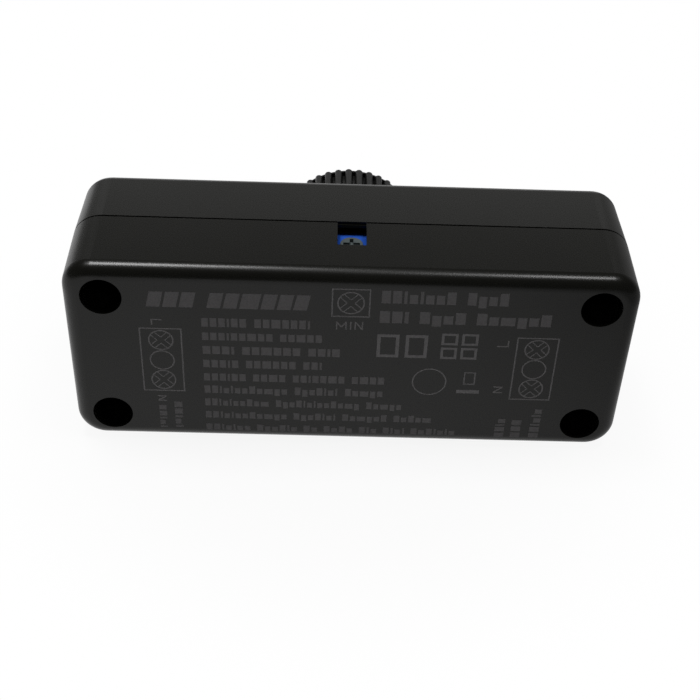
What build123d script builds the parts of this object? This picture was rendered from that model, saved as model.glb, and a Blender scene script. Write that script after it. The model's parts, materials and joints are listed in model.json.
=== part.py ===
from build123d import *
from math import cos, radians, sin, sqrt
import os

# Inline rotary dimmer for a lamp cord: two moulded half-shells, a ribbed knob on a potentiometer,
# a side-adjust trimmer behind a window, and the board, terminals and cord clamps inside.
# It is laid out lying on its underside: X along the case, Y across it with the window at the -Y side,
# Z up to the knob. The last step stands it on its plain long side. All sizes are in millimetres.

# Case, over its widest line, where the two shells meet
CASE_LENGTH = 90.0
CASE_WIDTH = 35.0
CASE_HEIGHT = 27.2
PARTING_HEIGHT = 14.0
CORNER_RADIUS = 5.0
WALL = 2.0
FLOOR = 2.0
ROOF = 2.0
LOWER_DRAFT = 0.3
UPPER_DRAFT = 0.15
LOWER_EDGE = 2.4
UPPER_EDGE = 1.75
PARTING_BEVEL = 0.1
PARTING_GAP = 0.25
PARTING_GAP_DEPTH = 0.5
INNER_EDGE = 0.8

# Lap joint: a tongue on the lower rim stands in a rebate of the upper one
LAP_INSET = 1.1
LAP_HEIGHT = 1.2
LAP_CLEARANCE = 0.1
LAP_END_GAP = 1.0

# Screw wells in the underside, and the tubes around them
WELL_INSET_X = 6.4
WELL_INSET_Y = 5.7
WELL_RADIUS = 3.25
WELL_WALL = 1.5
WELL_DEPTH = 9.5

# Self-tapping screws: head radius, head height, thread radius and length under the head
CASE_SCREW = (2.75, 2.0, 1.45, 11.5)
BOARD_SCREW = (2.0, 1.4, 1.1, 5.4)
CLAMP_SCREW = (2.1, 1.6, 1.25, 9.0)
TERMINAL_SCREW = (1.8, 1.6, 1.2, 4.5)
SCREW_CROWN_SHARE = 0.5
SCREW_POINT_SHARE = 0.8
RECESS_WIDTH_SHARE = 0.24
RECESS_DEPTH_SHARE = 0.6
SCREW_CLEARANCE = 0.25
THREAD_FIT = 0.03
HOLE_BOTTOM_GAP = 0.5

# Cord entries and the clamps behind them
CORD_ENTRY_RADIUS = 3.5
CLAMP_INSET = 9.8
CLAMP_POST_RADIUS = 2.2
CLAMP_GAP = 0.3
CLAMP_RISE = 2.2
CLAMP_THICKNESS = 2.4
CLAMP_RIB_RADIUS = 0.5
CLAMP_RIB_PITCH = 2.2
SADDLE_LENGTH = 3.2
SADDLE_DROP = 1.5

# Circuit board and its posts
BOARD_THICKNESS = 1.6
BOARD_POST_HEIGHT = 4.25
BOARD_POST_RADIUS = 2.2
BOARD_POST_INSET = 3.1
BOARD_PEG_RADIUS = 0.9
BOARD_PEG_RISE = 0.5
BOARD_END_GAP = 2.0
BOARD_SIDE_GAP = 0.3
BOARD_CORNER = 1.5
LEAD_RADIUS = 0.3
LEAD_STUB = 1.2
LEAD_HOLE_GAP = 0.1

# Three-pole terminal blocks, whose middle pole holds no cage
POLE_PITCH = 5.08
TERMINAL_DEPTH = 8.5
TERMINAL_HEIGHT = 10.0
TERMINAL_SETBACK = 1.3
TERMINAL_SLOPE = 1.5
MOUTH_WIDTH = 3.6
MOUTH_HEIGHT = 3.8
MOUTH_DEPTH = 6.5
MOUTH_SILL = 0.8
CAGE_LENGTH = 4.4
CAGE_WALL = 0.5
CAGE_GAP = 0.1
TERMINAL_HEAD_SINK = 0.9
TERMINAL_PIN_RADIUS = 0.5

# Knob and the shaft it sits on
DIAL_X = -0.2
KNOB_RADIUS = 12.3
KNOB_STAND_OUT = 12.6
KNOB_GAP = 0.6
KNOB_WALL = 1.8
KNOB_TOP = 2.2
KNOB_LIP_INSET = 0.4
KNOB_LIP_HEIGHT = 0.6
KNOB_LIP_EDGE = 0.3
KNOB_HUB_RADIUS = 5.0
RIB_COUNT = 40
RIB_RADIUS = 0.66
FLUTE_DEPTH = 1.2
RIB_END_GAP = 0.1
RIB_NOSE_LENGTH = 0.25
RIB_NOSE_RADIUS = 0.5
DISH_RADIUS = 9.6
DISH_DEPTH = 0.4
POINTER_WIDTH = 1.2
POINTER_LENGTH = 4.2
POINTER_DEPTH = 0.5
POINTER_REST_ANGLE = 241.5
SHAFT_RADIUS = 3.0
SHAFT_FLAT = 1.5
SHAFT_FLAT_START = 1.6
SHAFT_HOLE_GAP = 0.6
SHAFT_FIT = 0.05
HUB_FIT = 0.02
COLLAR_RADIUS = 5.6
COLLAR_HEIGHT = 0.9

# Potentiometer
POT_RADIUS = 8.0
POT_HEIGHT = 7.8
POT_FLOOR = 3.4
POT_WALL = 1.0
POT_COVER = 0.8
POT_TAB_WIDTH = 3.0
POT_TAB_THICKNESS = 0.4
POT_TAB_REACH = 3.2
POT_TAB_ROOT = 4.0
BUSHING_RADIUS = 3.6
BUSHING_LENGTH = 6.5
TRACK_THICKNESS = 0.8
TRACK_HOLE_RADIUS = 2.2
WIPER_THICKNESS = 0.4
WIPER_LIFT = 0.05
WIPER_SIDE_GAP = 0.3
POT_PIN_RADIUS = 0.45
POT_PIN_PITCH = 4.0
POT_PIN_INSET = 1.8
POT_SWITCH_PIN_PITCH = 6.0

# Trimmer at the board's edge, and the window in front of it
TRIMMER_WIDTH = 6.6
TRIMMER_HEIGHT = 7.0
TRIMMER_DEPTH = 4.9
TRIMMER_SETBACK = 2.45
TRIMMER_AXIS_RISE = 3.55
TRIMMER_BEVEL = 0.6
ROTOR_RADIUS = 1.8
ROTOR_PROUD = 0.15
ROTOR_SINK = 1.1
ROTOR_STEM_RADIUS = 0.9
ROTOR_STEM_LENGTH = 2.0
ROTOR_FIT = 0.05
ROTOR_SLOT = 0.6
ROTOR_SLOT_LENGTH = 2.7
TRIMMER_PIN_PITCH = 2.5
TRIMMER_PIN_STAGGER = 1.0
TRIMMER_PIN_RADIUS = 0.35
WINDOW_WIDTH = 4.6

# Parts on the board
ROW_INSET = 5.6
CAN_RADIUS = 4.0
CAN_HEIGHT = 11.5
CAN_CRIMP_DEPTH = 0.5
CAN_CRIMP_RISE = 1.2
CAN_LEAD_PITCH = 3.5
FILM_LENGTH = 11.0
FILM_WIDTH = 5.0
FILM_HEIGHT = 9.5
FILM_EDGE = 0.5
FILM_LEAD_PITCH = 7.5
CHOKE_RADIUS = 4.0
CHOKE_HEIGHT = 10.0
CHOKE_WAIST = 2.3
CHOKE_FLANGE = 1.4
CHOKE_WIRE = 1.1
CHOKE_LEAD_PITCH = 5.0
DISC_RADIUS = 4.5
DISC_THICKNESS = 3.6
DISC_EDGE = 0.9
DISC_LEAD_PITCH = 5.0
FUSE_RADIUS = 4.25
FUSE_HEIGHT = 8.0
FUSE_LEAD_PITCH = 5.08
DRIVER_BODY = (6.5, 6.1, 2.3)
DRIVER_TAB = (5.2, 1.6, 0.6)
DRIVER_LEAD = (0.8, 1.8, 0.6)
DRIVER_LEAD_PITCH = 4.3
DRIVER_PITCH = 8.7
CHIP_BODY = (3.9, 4.9, 1.5)
CHIP_LIFT = 0.15
CHIP_LEAD = (1.05, 0.42, 0.8)
CHIP_LEAD_PITCH = 1.27
BRIDGE_BODY = (4.7, 3.9, 2.5)
BRIDGE_EDGE = 0.4
BRIDGE_LEAD = (0.6, 1.3, 0.9)
BRIDGE_LEAD_PITCH = 2.5
RESISTOR_BODY = (3.2, 1.6, 0.6)
RESISTOR_PITCH = 4.2
RESISTOR_EDGE_GAP = 1.2

# Places that follow from the sizes
HALF_LENGTH = CASE_LENGTH / 2
HALF_WIDTH = CASE_WIDTH / 2
BOSS_RADIUS = WELL_RADIUS + WELL_WALL
WELL_X = HALF_LENGTH - WELL_INSET_X
WELL_Y = HALF_WIDTH - WELL_INSET_Y
CLAMP_X = HALF_LENGTH - CLAMP_INSET
CLAMP_REACH = BOSS_RADIUS + CLAMP_POST_RADIUS + CLAMP_GAP
CLAMP_Y = WELL_Y - sqrt(CLAMP_REACH ** 2 - (WELL_X - CLAMP_X) ** 2)
CLAMP_SEAT = PARTING_HEIGHT + CLAMP_RISE
BOARD_BOTTOM = FLOOR + BOARD_POST_HEIGHT
BOARD_TOP = BOARD_BOTTOM + BOARD_THICKNESS
BOARD_HALF_LENGTH = CLAMP_X - CLAMP_POST_RADIUS - BOARD_END_GAP
BOARD_HALF_WIDTH = HALF_WIDTH - WALL - LOWER_DRAFT - BOARD_SIDE_GAP
BOARD_POST_X = BOARD_HALF_LENGTH - BOARD_POST_INSET
BOARD_POST_Y = BOARD_HALF_WIDTH - BOARD_POST_INSET
TERMINAL_X = BOARD_HALF_LENGTH - TERMINAL_SETBACK - TERMINAL_DEPTH / 2
TERMINAL_WIDTH = 3 * POLE_PITCH
CAGE_X = TERMINAL_DEPTH / 2 - MOUTH_DEPTH + CAGE_GAP + CAGE_LENGTH / 2
BAY_X = (POT_RADIUS + TERMINAL_X - TERMINAL_DEPTH / 2) / 2
ROW_Y = BOARD_HALF_WIDTH - ROW_INSET
POT_TOP = BOARD_TOP + POT_HEIGHT
KNOB_BOTTOM = CASE_HEIGHT + KNOB_GAP
KNOB_END = CASE_HEIGHT + KNOB_STAND_OUT
SHAFT_END = KNOB_END - KNOB_TOP
FLAT_START = CASE_HEIGHT + SHAFT_FLAT_START
TRIMMER_FACE = TRIMMER_SETBACK - HALF_WIDTH
TRIMMER_Y = TRIMMER_FACE + TRIMMER_DEPTH / 2
TRIMMER_AXIS = BOARD_TOP + TRIMMER_AXIS_RISE

SIDES = (-1, 1)
FOUR_STEPS = (-1.5, -0.5, 0.5, 1.5)
ENDS = {"input": -1, "output": 1}


# Basic shapes

def upright(radius, low, high, x=0.0, y=0.0):
    """Round bar between two heights."""
    return Pos(x, y, low) * Cylinder(radius, high - low, align=(Align.CENTER, Align.CENTER, Align.MIN))


def block(size_x, size_y, low, high, x=0.0, y=0.0):
    """Square-edged block between two heights."""
    return Pos(x, y, low) * Box(size_x, size_y, high - low, align=(Align.CENTER, Align.CENTER, Align.MIN))


def rounded_block(size_x, size_y, radius, low, high, x=0.0, y=0.0):
    """Block between two heights with rounded upright edges."""
    return extrude(Pos(x, y, low) * RectangleRounded(size_x, size_y, radius), high - low)


def along_x(radius, start, end, y, z):
    """Round bar along X."""
    return Pos((start + end) / 2, y, z) * Rotation(0, 90, 0) * Cylinder(radius, end - start)


def along_y(radius, start, end, x, z):
    """Round bar along Y."""
    return Pos(x, (start + end) / 2, z) * Rotation(90, 0, 0) * Cylinder(radius, end - start)


def turned(points):
    """Body of revolution about Z from a closed outline of radius and height pairs."""
    outline = make_face(Polyline([(radius, 0, height) for radius, height in points], close=True))
    return revolve(outline, Axis.Z)


def screw(sizes):
    """Cross-recess screw with its seat at the origin, head below it and thread above."""
    head_radius, head_height, thread_radius, length = sizes
    crown = head_height * SCREW_CROWN_SHARE
    point = thread_radius * SCREW_POINT_SHARE
    body = turned([
        (0, -head_height),
        (head_radius - crown, -head_height),
        (head_radius, -head_height + crown),
        (head_radius, 0),
        (thread_radius, 0),
        (thread_radius, length - point),
        (thread_radius - point, length),
        (0, length),
    ])
    arm = head_radius
    slot_width = head_radius * RECESS_WIDTH_SHARE
    slot_depth = head_height * RECESS_DEPTH_SHARE
    for size_x, size_y in ((arm, slot_width), (slot_width, arm)):
        body -= block(size_x, size_y, -head_height, slot_depth - head_height)
    return body


def head_up(body):
    """Turn a screw over, so that it is driven from above."""
    return Rotation(180, 0, 0) * body


def case_outline(inset):
    """Case outline drawn in by an inset."""
    return RectangleRounded(CASE_LENGTH - 2 * inset, CASE_WIDTH - 2 * inset, CORNER_RADIUS - inset)


def drafted_block(inset, draft, widest, narrowest):
    """Block inside the case outline by an inset, drawn in by the draft at its narrow height."""
    sections = []
    for height, drawn in sorted(((widest, inset), (narrowest, inset + draft))):
        sections.append(Pos(0, 0, height) * case_outline(drawn))
    return loft(sections, ruled=True)


def rim_band(outer_inset, inner_inset, high):
    """Band between two insets that stands on the parting line."""
    outline = case_outline(outer_inset) - case_outline(inner_inset)
    return extrude(Pos(0, 0, PARTING_HEIGHT) * outline, high - PARTING_HEIGHT)


def lap_band(growth):
    """Band of the lap joint, which stops short of the bosses."""
    high = PARTING_HEIGHT + LAP_HEIGHT + growth
    band = rim_band(LAP_INSET - growth, WALL, high)
    for x, y in corner_places(WELL_X, WELL_Y):
        band -= upright(BOSS_RADIUS + LAP_END_GAP - growth, PARTING_HEIGHT, high, x, y)
    return band


# Places that repeat

def corner_places(x, y):
    """The four places that mirror one corner place."""
    return [(side_x * x, side_y * y) for side_x in SIDES for side_y in SIDES]


def board_screw_places():
    """Two opposite board posts take screws."""
    return [(-BOARD_POST_X, BOARD_POST_Y), (BOARD_POST_X, -BOARD_POST_Y)]


def board_peg_places():
    """The other two board posts end in locating pegs."""
    return [(-BOARD_POST_X, -BOARD_POST_Y), (BOARD_POST_X, BOARD_POST_Y)]


def clamp_screw_places():
    """One place on each post of both cord saddles."""
    return corner_places(CLAMP_X, CLAMP_Y)


def cage_places():
    """Outer poles of both terminal blocks: end, x and y."""
    return [(end, end * (TERMINAL_X + CAGE_X), side * POLE_PITCH) for end in SIDES for side in SIDES]


def pot_pin_places():
    """Three pins of the track on the window side and two of the switch opposite."""
    row = POT_RADIUS - POT_PIN_INSET
    track = [(DIAL_X + step * POT_PIN_PITCH, -row) for step in (-1, 0, 1)]
    switch = [(DIAL_X + side * POT_SWITCH_PIN_PITCH / 2, row) for side in SIDES]
    return track + switch


def trimmer_pin_places():
    """Three pins of which the outer two stand further in."""
    return [(DIAL_X + step * TRIMMER_PIN_PITCH, TRIMMER_Y + abs(step) * TRIMMER_PIN_STAGGER)
            for step in (-1, 0, 1)]


def lead_pair(x, y, pitch):
    """Two leads side by side along X."""
    return [(x - pitch / 2, y), (x + pitch / 2, y)]


CAN_LEADS = lead_pair(BAY_X, ROW_Y, CAN_LEAD_PITCH)
CHOKE_LEADS = lead_pair(BAY_X, -ROW_Y, CHOKE_LEAD_PITCH)
FILM_LEADS = lead_pair(-BAY_X, -ROW_Y, FILM_LEAD_PITCH)
DISC_LEADS = lead_pair(-BAY_X, 0, DISC_LEAD_PITCH)
FUSE_LEADS = lead_pair(-BAY_X, ROW_Y, FUSE_LEAD_PITCH)


# Case

def cord_entries():
    """Round passage for each cord, centred on the parting line."""
    return [along_x(CORD_ENTRY_RADIUS, end * HALF_LENGTH - 2 * WALL, end * HALF_LENGTH + 2 * WALL,
                    0, PARTING_HEIGHT) for end in SIDES]


def cord_saddle(end):
    """Two clamp posts with a hollowed rib between them, under the cord."""
    x = end * CLAMP_X
    saddle = block(SADDLE_LENGTH, 2 * CLAMP_Y, FLOOR / 2, PARTING_HEIGHT - SADDLE_DROP, x)
    saddle -= along_x(CORD_ENTRY_RADIUS, x - SADDLE_LENGTH, x + SADDLE_LENGTH, 0, PARTING_HEIGHT)
    for side in SIDES:
        saddle += upright(CLAMP_POST_RADIUS, FLOOR / 2, CLAMP_SEAT, x, side * CLAMP_Y)
    return saddle


def bottom_shell():
    """Label-side half: drafted tray with screw wells, posts, saddles, tongue and adjuster window."""
    shell = drafted_block(0, LOWER_DRAFT, PARTING_HEIGHT, 0)
    shell = fillet(shell.faces().sort_by(Axis.Z)[0].edges(), LOWER_EDGE)
    shell = chamfer(shell.faces().sort_by(Axis.Z)[-1].edges(), PARTING_BEVEL)
    cavity = drafted_block(WALL, LOWER_DRAFT, PARTING_HEIGHT, FLOOR)
    cavity = fillet(cavity.faces().sort_by(Axis.Z)[0].edges(), INNER_EDGE)
    shell -= cavity
    shell += lap_band(0)
    window_reach = 2 * WALL
    window_top = PARTING_HEIGHT + LAP_HEIGHT
    shell -= block(WINDOW_WIDTH, 2 * window_reach, BOARD_TOP, window_top, DIAL_X, -HALF_WIDTH)
    for x, y in corner_places(WELL_X, WELL_Y):
        shell += upright(BOSS_RADIUS, FLOOR / 2, PARTING_HEIGHT, x, y)
    for x, y in corner_places(BOARD_POST_X, BOARD_POST_Y):
        shell += upright(BOARD_POST_RADIUS, FLOOR / 2, BOARD_BOTTOM, x, y)
    for x, y in board_peg_places():
        shell += upright(BOARD_PEG_RADIUS, BOARD_BOTTOM, BOARD_TOP + BOARD_PEG_RISE, x, y)
    for end in SIDES:
        shell += cord_saddle(end)
    case_thread = CASE_SCREW[2] + SCREW_CLEARANCE
    for x, y in corner_places(WELL_X, WELL_Y):
        shell -= upright(WELL_RADIUS, 0, WELL_DEPTH, x, y)
        shell -= upright(case_thread, WELL_DEPTH, PARTING_HEIGHT, x, y)
    for x, y in board_screw_places():
        tip = BOARD_TOP - BOARD_SCREW[3]
        shell -= upright(BOARD_SCREW[2] + THREAD_FIT, tip, BOARD_BOTTOM, x, y)
    for x, y in clamp_screw_places():
        tip = CLAMP_SEAT + CLAMP_THICKNESS - CLAMP_SCREW[3]
        shell -= upright(CLAMP_SCREW[2] + THREAD_FIT, tip - HOLE_BOTTOM_GAP, CLAMP_SEAT, x, y)
    for entry in cord_entries():
        shell -= entry
    return shell


def top_shell():
    """Knob-side half: drafted cover with screw bosses, a rebated rim, a shadow gap and the shaft hole."""
    shell = drafted_block(0, UPPER_DRAFT, PARTING_HEIGHT, CASE_HEIGHT)
    shell = fillet(shell.faces().sort_by(Axis.Z)[-1].edges(), UPPER_EDGE)
    shell -= rim_band(-PARTING_GAP_DEPTH, PARTING_GAP_DEPTH, PARTING_HEIGHT + PARTING_GAP)
    inner_face = CASE_HEIGHT - ROOF
    cavity = drafted_block(WALL, UPPER_DRAFT, PARTING_HEIGHT, inner_face)
    cavity = fillet(cavity.faces().sort_by(Axis.Z)[-1].edges(), INNER_EDGE)
    shell -= cavity
    shell -= lap_band(LAP_CLEARANCE)
    for x, y in corner_places(WELL_X, WELL_Y):
        shell += upright(BOSS_RADIUS, PARTING_HEIGHT, CASE_HEIGHT - ROOF / 2, x, y)
    shell += upright(COLLAR_RADIUS, inner_face - COLLAR_HEIGHT, CASE_HEIGHT - ROOF / 2, DIAL_X)
    shell -= upright(SHAFT_RADIUS + SHAFT_HOLE_GAP, inner_face - COLLAR_HEIGHT, CASE_HEIGHT, DIAL_X)
    for x, y in corner_places(WELL_X, WELL_Y):
        tip = WELL_DEPTH + CASE_SCREW[3]
        shell -= upright(CASE_SCREW[2] + THREAD_FIT, PARTING_HEIGHT, tip + HOLE_BOTTOM_GAP, x, y)
    for entry in cord_entries():
        shell -= entry
    return shell


def case_screws():
    """Four screws up from the wells into the upper shell."""
    return [Pos(x, y, WELL_DEPTH) * screw(CASE_SCREW) for x, y in corner_places(WELL_X, WELL_Y)]


# Cord clamps

def cord_clamp(end):
    """Flat bar over the cord with two gripping ribs beneath."""
    x = end * CLAMP_X
    outline = SlotCenterToCenter(2 * CLAMP_Y, 2 * CLAMP_POST_RADIUS, rotation=90)
    bar = extrude(Pos(x, 0, CLAMP_SEAT) * outline, CLAMP_THICKNESS)
    rib_reach = CLAMP_Y - CLAMP_POST_RADIUS
    for side in SIDES:
        rib_x = x + side * CLAMP_RIB_PITCH / 2
        bar += along_y(CLAMP_RIB_RADIUS, -rib_reach, rib_reach, rib_x, CLAMP_SEAT)
    for side in SIDES:
        hole = CLAMP_SCREW[2] + SCREW_CLEARANCE
        bar -= upright(hole, CLAMP_SEAT, CLAMP_SEAT + CLAMP_THICKNESS, x, side * CLAMP_Y)
    return bar


def clamp_screws():
    """Two screws down through each clamp bar into its posts."""
    seat = CLAMP_SEAT + CLAMP_THICKNESS
    return [Pos(x, y, seat) * head_up(screw(CLAMP_SCREW)) for x, y in clamp_screw_places()]


# Circuit board

def circuit_board():
    """Board drilled for every lead, pin, screw and peg."""
    board = rounded_block(2 * BOARD_HALF_LENGTH, 2 * BOARD_HALF_WIDTH, BOARD_CORNER, BOARD_BOTTOM, BOARD_TOP)
    drillings = [
        (BOARD_SCREW[2] + SCREW_CLEARANCE, board_screw_places()),
        (BOARD_PEG_RADIUS + LEAD_HOLE_GAP, board_peg_places()),
        (TERMINAL_PIN_RADIUS + LEAD_HOLE_GAP, [(x, y) for end, x, y in cage_places()]),
        (POT_PIN_RADIUS + LEAD_HOLE_GAP, pot_pin_places()),
        (TRIMMER_PIN_RADIUS + LEAD_HOLE_GAP, trimmer_pin_places()),
        (LEAD_RADIUS + LEAD_HOLE_GAP, CAN_LEADS + CHOKE_LEADS + FILM_LEADS + DISC_LEADS + FUSE_LEADS),
    ]
    for radius, places in drillings:
        for x, y in places:
            board -= upright(radius, BOARD_BOTTOM, BOARD_TOP, x, y)
    return board


def board_screws():
    """Two screws that hold the board to its posts."""
    return [Pos(x, y, BOARD_TOP) * head_up(screw(BOARD_SCREW)) for x, y in board_screw_places()]


def pin_stub(radius, x, y, top=BOARD_TOP):
    """Solder pin from a part's seat on the board to just under the board."""
    return upright(radius, BOARD_BOTTOM - LEAD_STUB, top, x, y)


# Terminals

def terminal_housing(end):
    """Three-pole housing with wire mouths towards the end wall and a screw well over each pole."""
    low = BOARD_TOP
    high = BOARD_TOP + TERMINAL_HEIGHT
    housing = block(TERMINAL_DEPTH, TERMINAL_WIDTH, low, high)
    top_edges = housing.faces().sort_by(Axis.Z)[-1].edges().filter_by(Axis.Y)
    housing = chamfer(top_edges.sort_by(Axis.X)[-1], TERMINAL_SLOPE)
    mouth_x = (TERMINAL_DEPTH - MOUTH_DEPTH) / 2
    mouth_low = low + MOUTH_SILL
    mouth_high = mouth_low + MOUTH_HEIGHT
    head_radius, head_height, thread_radius, length = TERMINAL_SCREW
    ledge = high - TERMINAL_HEAD_SINK - head_height
    for pole in (-1, 0, 1):
        y = pole * POLE_PITCH
        housing -= block(MOUTH_DEPTH, MOUTH_WIDTH, mouth_low, mouth_high, mouth_x, y)
        housing -= upright(thread_radius + SCREW_CLEARANCE, mouth_high, ledge, CAGE_X, y)
        housing -= upright(head_radius + SCREW_CLEARANCE, ledge, high, CAGE_X, y)
        if pole:
            housing -= upright(TERMINAL_PIN_RADIUS + LEAD_HOLE_GAP, low, mouth_low, CAGE_X, y)
    turn = 0 if end > 0 else 180
    return Pos(end * TERMINAL_X, 0, 0) * Rotation(0, 0, turn) * housing


def terminal_cages():
    """Wire cages: square tubes with a tapped roof and a solder pin."""
    cages = []
    width = MOUTH_WIDTH - 2 * CAGE_GAP
    low = BOARD_TOP + MOUTH_SILL
    high = low + MOUTH_HEIGHT - CAGE_GAP
    for end, x, y in cage_places():
        cage = block(CAGE_LENGTH, width, low, high, x, y)
        cage -= block(CAGE_LENGTH, width - 2 * CAGE_WALL, low + CAGE_WALL, high - CAGE_WALL, x, y)
        cage -= upright(TERMINAL_SCREW[2] + THREAD_FIT, high - CAGE_WALL, high, x, y)
        cages.append(cage + pin_stub(TERMINAL_PIN_RADIUS, x, y, low))
    return cages


def terminal_screws():
    """One wire screw over each cage."""
    ledge = BOARD_TOP + TERMINAL_HEIGHT - TERMINAL_HEAD_SINK - TERMINAL_SCREW[1]
    return [Pos(x, y, ledge) * head_up(screw(TERMINAL_SCREW)) for end, x, y in cage_places()]


# Knob and potentiometer

def flatted(radius, flat, low, high):
    """Round bar with one flat, turned to face the pointer."""
    bar = upright(radius, low, high)
    bar -= block(radius, 2 * radius, low, high, flat + radius / 2)
    return Rotation(0, 0, POINTER_REST_ANGLE) * bar


def knob_rib(index):
    """Upright round grip rib with a tapered nose."""
    angle = radians(POINTER_REST_ANGLE + index * 360 / RIB_COUNT)
    reach = KNOB_RADIUS - RIB_RADIUS
    tip = KNOB_END - RIB_END_GAP
    shoulder = tip - RIB_NOSE_LENGTH
    rib = turned([
        (0, KNOB_BOTTOM), (RIB_RADIUS, KNOB_BOTTOM), (RIB_RADIUS, shoulder), (RIB_NOSE_RADIUS, tip), (0, tip),
    ])
    return Pos(reach * cos(angle), reach * sin(angle), 0) * rib


def knob():
    """Hollow ribbed knob: flutes closed by a lip at the top, a flatted hub, a dish and a pointer groove."""
    core = KNOB_RADIUS - FLUTE_DEPTH
    lip = upright(KNOB_RADIUS - KNOB_LIP_INSET, KNOB_END - KNOB_LIP_HEIGHT, KNOB_END)
    lip = fillet(lip.faces().sort_by(Axis.Z)[-1].edges(), KNOB_LIP_EDGE)
    body = upright(core, KNOB_BOTTOM, KNOB_END - KNOB_LIP_HEIGHT) + lip
    body += [knob_rib(index) for index in range(RIB_COUNT)]
    ceiling = KNOB_END - KNOB_TOP
    hollow = upright(core - KNOB_WALL, KNOB_BOTTOM, ceiling) - upright(KNOB_HUB_RADIUS, KNOB_BOTTOM, ceiling)
    body -= hollow
    body -= upright(DISH_RADIUS, KNOB_END - DISH_DEPTH, KNOB_END)
    groove = block(POINTER_LENGTH, POINTER_WIDTH, KNOB_END - DISH_DEPTH - POINTER_DEPTH, KNOB_END,
                   DISH_RADIUS - POINTER_LENGTH / 2)
    body -= Rotation(0, 0, POINTER_REST_ANGLE) * groove
    body -= upright(SHAFT_RADIUS + HUB_FIT, KNOB_BOTTOM, FLAT_START)
    body -= flatted(SHAFT_RADIUS + HUB_FIT, SHAFT_FLAT + HUB_FIT, FLAT_START, SHAFT_END)
    return Pos(DIAL_X, 0, 0) * body


def wiper_levels():
    """Heights of the wiper's underside, the carrier's underside and the carrier's top."""
    wiper_low = BOARD_TOP + POT_FLOOR + TRACK_THICKNESS + WIPER_LIFT
    return wiper_low, wiper_low + WIPER_THICKNESS, POT_TOP - WIPER_LIFT


def carrier_radius():
    """Radius at which the carrier clears the cup's wall."""
    return POT_RADIUS - POT_WALL - WIPER_SIDE_GAP


def pot_shaft():
    """Shaft from the wiper carrier to the knob, flatted where the knob sits."""
    carrier_low = wiper_levels()[1]
    shaft = upright(SHAFT_RADIUS, carrier_low, FLAT_START) + flatted(
        SHAFT_RADIUS, SHAFT_FLAT, FLAT_START, SHAFT_END)
    return Pos(DIAL_X, 0, 0) * shaft


def wiper_carrier():
    """Disc on the shaft's foot that carries the wiper round the track."""
    carrier_low, carrier_high = wiper_levels()[1:]
    disc = upright(carrier_radius(), carrier_low, carrier_high)
    disc -= upright(SHAFT_RADIUS + HUB_FIT, carrier_low, carrier_high)
    return Pos(DIAL_X, 0, 0) * disc


def wiper_contact():
    """Springy ring under the carrier, open on one side."""
    low, high = wiper_levels()[:2]
    outer = carrier_radius() - WIPER_SIDE_GAP
    width = (outer - SHAFT_RADIUS) / 2
    ring = upright(outer, low, high) - upright(outer - width, low, high)
    ring -= block(outer, width, low, high, outer / 2 + width)
    return Pos(DIAL_X, 0, 0) * ring


def pot_housing():
    """Round cup that holds the track and, sealed in its floor, the off switch."""
    cup = upright(POT_RADIUS, BOARD_TOP, POT_TOP)
    cup -= upright(POT_RADIUS - POT_WALL, BOARD_TOP + POT_FLOOR, POT_TOP)
    return Pos(DIAL_X, 0, 0) * cup


def pot_track():
    """Resistive wafer on the cup's floor."""
    low = BOARD_TOP + POT_FLOOR
    wafer = upright(POT_RADIUS - POT_WALL, low, low + TRACK_THICKNESS)
    wafer -= upright(TRACK_HOLE_RADIUS, low, low + TRACK_THICKNESS)
    return Pos(DIAL_X, 0, 0) * wafer


def pot_cover():
    """Front plate with the shaft bushing and four tabs bent down over the cup."""
    plate_top = POT_TOP + POT_COVER
    cover = upright(POT_RADIUS, POT_TOP, plate_top)
    cover += upright(BUSHING_RADIUS, plate_top, plate_top + BUSHING_LENGTH)
    tab_x = POT_RADIUS + POT_TAB_THICKNESS / 2
    tab = block(POT_TAB_THICKNESS, POT_TAB_WIDTH, POT_TOP - POT_TAB_REACH, plate_top, tab_x)
    link = block(POT_TAB_ROOT, POT_TAB_WIDTH, POT_TOP, plate_top, POT_RADIUS - POT_TAB_ROOT / 2)
    for quarter in range(4):
        cover += Rotation(0, 0, 45 + 90 * quarter) * (tab + link)
    cover -= upright(SHAFT_RADIUS + SHAFT_FIT, POT_TOP, plate_top + BUSHING_LENGTH)
    return Pos(DIAL_X, 0, 0) * cover


def pot_pins():
    """Solder pins of the track and of the switch."""
    return [pin_stub(POT_PIN_RADIUS, x, y) for x, y in pot_pin_places()]


# Trimmer

def trimmer_body():
    """Upright body with its adjuster pocket facing the window."""
    body = block(TRIMMER_WIDTH, TRIMMER_DEPTH, BOARD_TOP, BOARD_TOP + TRIMMER_HEIGHT, DIAL_X, TRIMMER_Y)
    corners = body.faces().sort_by(Axis.Z)[-1].edges().filter_by(Axis.Y)
    body = chamfer(corners, TRIMMER_BEVEL)
    pocket_end = TRIMMER_FACE + ROTOR_SINK
    body -= along_y(ROTOR_RADIUS + ROTOR_FIT, TRIMMER_FACE, pocket_end, DIAL_X, TRIMMER_AXIS)
    body -= along_y(ROTOR_STEM_RADIUS + ROTOR_FIT, pocket_end, pocket_end + ROTOR_STEM_LENGTH + ROTOR_FIT,
                    DIAL_X, TRIMMER_AXIS)
    return body


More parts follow.
